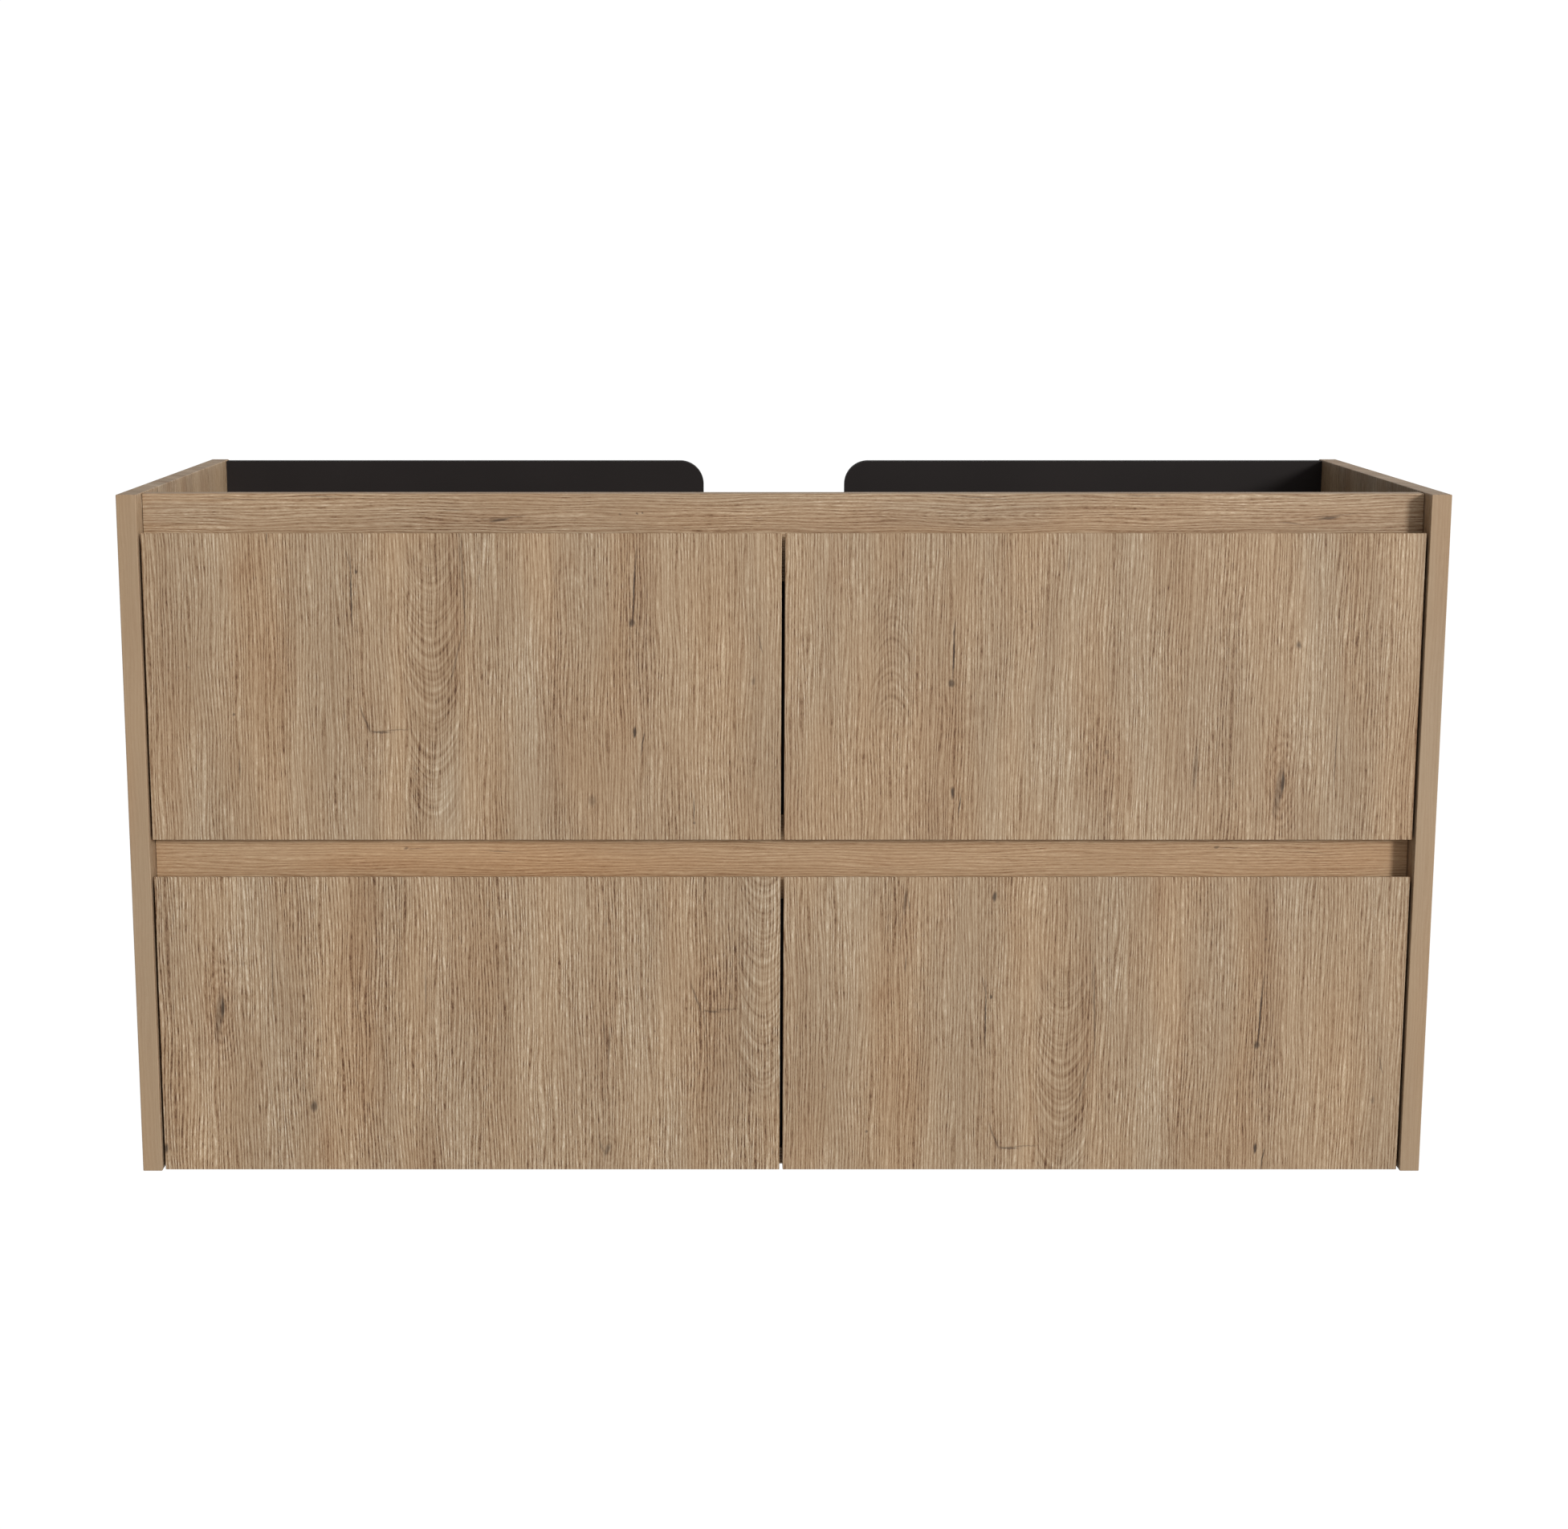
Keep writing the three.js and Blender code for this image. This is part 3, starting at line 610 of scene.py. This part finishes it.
def piece(name, body, mat, make):
    me = bpy.data.meshes.new(name)
    bm = bmesh.new()
    make(bm)
    bmesh.ops.recalc_face_normals(bm, faces=bm.faces)
    for f in bm.faces:
        f.smooth = True
    for e in bm.edges:
        if len(e.link_faces) == 2 and e.calc_face_angle() > math.radians(38):
            e.smooth = False
    bm.to_mesh(me)
    bm.free()
    me.materials.append(mat)
    o = bpy.data.objects.new(name, me)
    scene.collection.objects.link(o)
    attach(o, body)
    return o


def soft_plastic():
    t = Tree("buffer_plastic")
    obj, _, _ = t.coords()
    g = t.noise(obj, 1800, 2.0, 0.5)
    col = t.ramp(g, [(0.3, lin((150, 150, 146))), (0.7, lin((170, 170, 166)))])
    return t.finish(col, t.rng(g, 0.2, 0.8, 0.35, 0.5), t.bump(g, 0.00003, 0.4))


def beige_plastic():
    t = Tree("cover_plastic")
    obj, _, _ = t.coords()
    g = t.noise(obj, 1300, 3.0, 0.6)
    s2 = t.noise(obj, 40, 1.0, 0.5)
    col = t.ramp(t.add(t.mul(g, 0.6), t.mul(s2, 0.4)), [(0.3, lin((158, 132, 104))), (0.7, lin((172, 147, 119)))])
    return t.finish(col, t.rng(g, 0.2, 0.8, 0.4, 0.55), t.bump(g, 0.00004, 0.5))


buffer_mat, cover_mat = soft_plastic(), beige_plastic()
MM = 0.001

for tag in WINDOWS:
    body = tag + "_drawer"
    lo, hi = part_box(tag + "_drawer_front")
    back = hi[1]
    upper = tag.startswith("upper")
    left = tag.endswith("left")
    # buffers on the rear of the front, where it meets the rails
    heights = [lo[2] + 9 * MM, hi[2] - 27 * MM] if upper else [hi[2] - 21 * MM]

    def buffers(bm, lo=lo, hi=hi, back=back, heights=heights, left=left):
        for z in heights:
            for x in ((lo[0] + 45 * MM, hi[0] - 45 * MM)):
                pad(bm, (x, back, z), (0, 1, 0))
    piece(tag + "_front_buffers", body, buffer_mat, buffers)

    # covers over the front fixings, on the inner faces of the drawer sides
    sl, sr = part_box(tag + "_drawer_side_left"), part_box(tag + "_drawer_side_right")
    in_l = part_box(tag + "_drawer_back")[0][0]
    in_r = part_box(tag + "_drawer_back")[1][0]

    def covers(bm, sl=sl, sr=sr, in_l=in_l, in_r=in_r):
        z = sl[1][2] - 30 * MM
        y = sl[0][1] + 34 * MM
        stadium(bm, (sl_face(sl), y, z), (1, 0, 0), (0, 1, 0), 0.014, 0.0075, 0.0009)
        stadium(bm, (sr_face(sr), y, z), (-1, 0, 0), (0, 1, 0), 0.014, 0.0075, 0.0009)

    def sl_face(b):
        return b[0][0] + 13 * MM

    def sr_face(b):
        return b[1][0] - 13 * MM
    piece(tag + "_side_covers", body, plain["drawer_steel"], covers)

    # screws through the rear board into the sides
    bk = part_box(tag + "_drawer_back")

    def back_screws(bm, bk=bk):
        for x in (bk[0][0] + 9 * MM, bk[1][0] - 9 * MM):
            for z in (bk[0][2] + 18 * MM, bk[1][2] - 18 * MM):
                screw(bm, (x, bk[1][1], z), (0, 1, 0), 0.0036, 0.0013)
    piece(tag + "_back_screws", body, plain["zinc_steel"], back_screws)

# covers of the cam fittings, on the rails' rear faces
tl, th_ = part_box("top_grip_rail")
ml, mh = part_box("middle_grip_rail")


def rail_covers(bm):
    for lo, hi in ((tl, th_), (ml, mh)):
        for x in (lo[0] + 34 * MM, hi[0] - 34 * MM):
            for z in (lo[2] + 20 * MM, hi[2] - 20 * MM):
                disc_cap(bm, (x, hi[1], z), (0, 1, 0))


piece("rail_cam_covers", "carcass", cover_mat, rail_covers)

# adjusting screws of the wall hangers, in the caps' front faces
for side in ("left", "right"):
    cl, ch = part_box("hanger_cap_" + side)

    def adjusters(bm, cl=cl, ch=ch):
        x = (cl[0] + ch[0]) / 2
        for z in (cl[2] + 20 * MM, ch[2] - 30 * MM):
            screw(bm, (x, cl[1], z), (0, -1, 0), 0.0046, 0.0022)
    piece("hanger_adjusters_" + side, "carcass", plain["zinc_steel"], adjusters)


# ------------------------------------------------------- floor and light

fm = Tree("floor")
obj_, _, _ = fm.coords()
grain = fm.noise(obj_, 3.0, 3.0, 0.5)
fm.finish(fm.ramp(grain, [(0.3, (0.50, 0.50, 0.50, 1)), (0.7, (0.54, 0.54, 0.54, 1))]), 0.9, spec=0.1)
lp = fm.t.nodes.new("ShaderNodeLightPath")
em = fm.t.nodes.new("ShaderNodeEmission")
em.inputs[0].default_value = (1, 1, 1, 1)
em.inputs[1].default_value = 1.03
geo = fm.t.nodes.new("ShaderNodeNewGeometry")
tr = fm.t.nodes.new("ShaderNodeBsdfTransparent")
m1 = fm.t.nodes.new("ShaderNodeMixShader")
m2 = fm.t.nodes.new("ShaderNodeMixShader")
fm.t.links.new(lp.outputs["Is Camera Ray"], m1.inputs[0])
fm.t.links.new(fm.bsdf.outputs[0], m1.inputs[1])
fm.t.links.new(em.outputs[0], m1.inputs[2])
fm.t.links.new(geo.outputs["Backfacing"], m2.inputs[0])
fm.t.links.new(m1.outputs[0], m2.inputs[1])
fm.t.links.new(tr.outputs[0], m2.inputs[2])
fm.t.links.new(m2.outputs[0], fm.out.inputs[0])

bm = bmesh.new()
bmesh.ops.create_grid(bm, x_segments=1, y_segments=1, size=30)
me = bpy.data.meshes.new("floor")
bm.to_mesh(me)
bm.free()
floor = bpy.data.objects.new("floor", me)
floor.location = (0, 0, -0.75)
me.materials.append(fm.mat)
scene.collection.objects.link(floor)

world = bpy.data.worlds.new("studio")
scene.world = world
world.use_nodes = True
wt = world.node_tree
wt.nodes.clear()
wo = wt.nodes.new("ShaderNodeOutputWorld")
bg1 = wt.nodes.new("ShaderNodeBackground")
bg2 = wt.nodes.new("ShaderNodeBackground")
bg1.inputs[0].default_value = (1, 1, 1, 1)
# dimmer overhead and to the left, brighter to the right
wg = wt.nodes.new("ShaderNodeTexCoord")
wd = wt.nodes.new("ShaderNodeVectorMath")
wd.operation = "DOT_PRODUCT"
wd.inputs[1].default_value = (0.46, 0.0, -0.33)
wa_ = wt.nodes.new("ShaderNodeMath")
wa_.operation = "ADD"
wa_.inputs[1].default_value = 0.74
wt.links.new(wg.outputs["Generated"], wd.inputs[0])
wt.links.new(wd.outputs["Value"], wa_.inputs[0])
wt.links.new(wa_.outputs[0], bg1.inputs[1])
bg2.inputs[0].default_value = (1, 1, 1, 1)
bg2.inputs[1].default_value = 1.03
wl = wt.nodes.new("ShaderNodeLightPath")
wm = wt.nodes.new("ShaderNodeMixShader")
wt.links.new(wl.outputs["Is Camera Ray"], wm.inputs[0])
wt.links.new(bg1.outputs[0], wm.inputs[1])
wt.links.new(bg2.outputs[0], wm.inputs[2])
wt.links.new(wm.outputs[0], wo.inputs[0])

KEY_AZ, KEY_EL, KEY_D = math.radians(32.9), math.radians(15), 24.0
key_data = bpy.data.lights.new("key", "AREA")
key_data.shape = "DISK"
key_data.size = 4.2
key_data.energy = 1.86 * math.pi * KEY_D ** 2
key_data.color = (1.0, 1.0, 1.0)
key = bpy.data.objects.new("key", key_data)
aim = Vector((0, -0.2, 0.35))
key.location = aim + KEY_D * Vector((math.sin(KEY_AZ) * math.cos(KEY_EL), -math.cos(KEY_AZ) * math.cos(KEY_EL), math.sin(KEY_EL)))
key.rotation_euler = (aim - key.location).to_track_quat("-Z", "Y").to_euler()
scene.collection.objects.link(key)
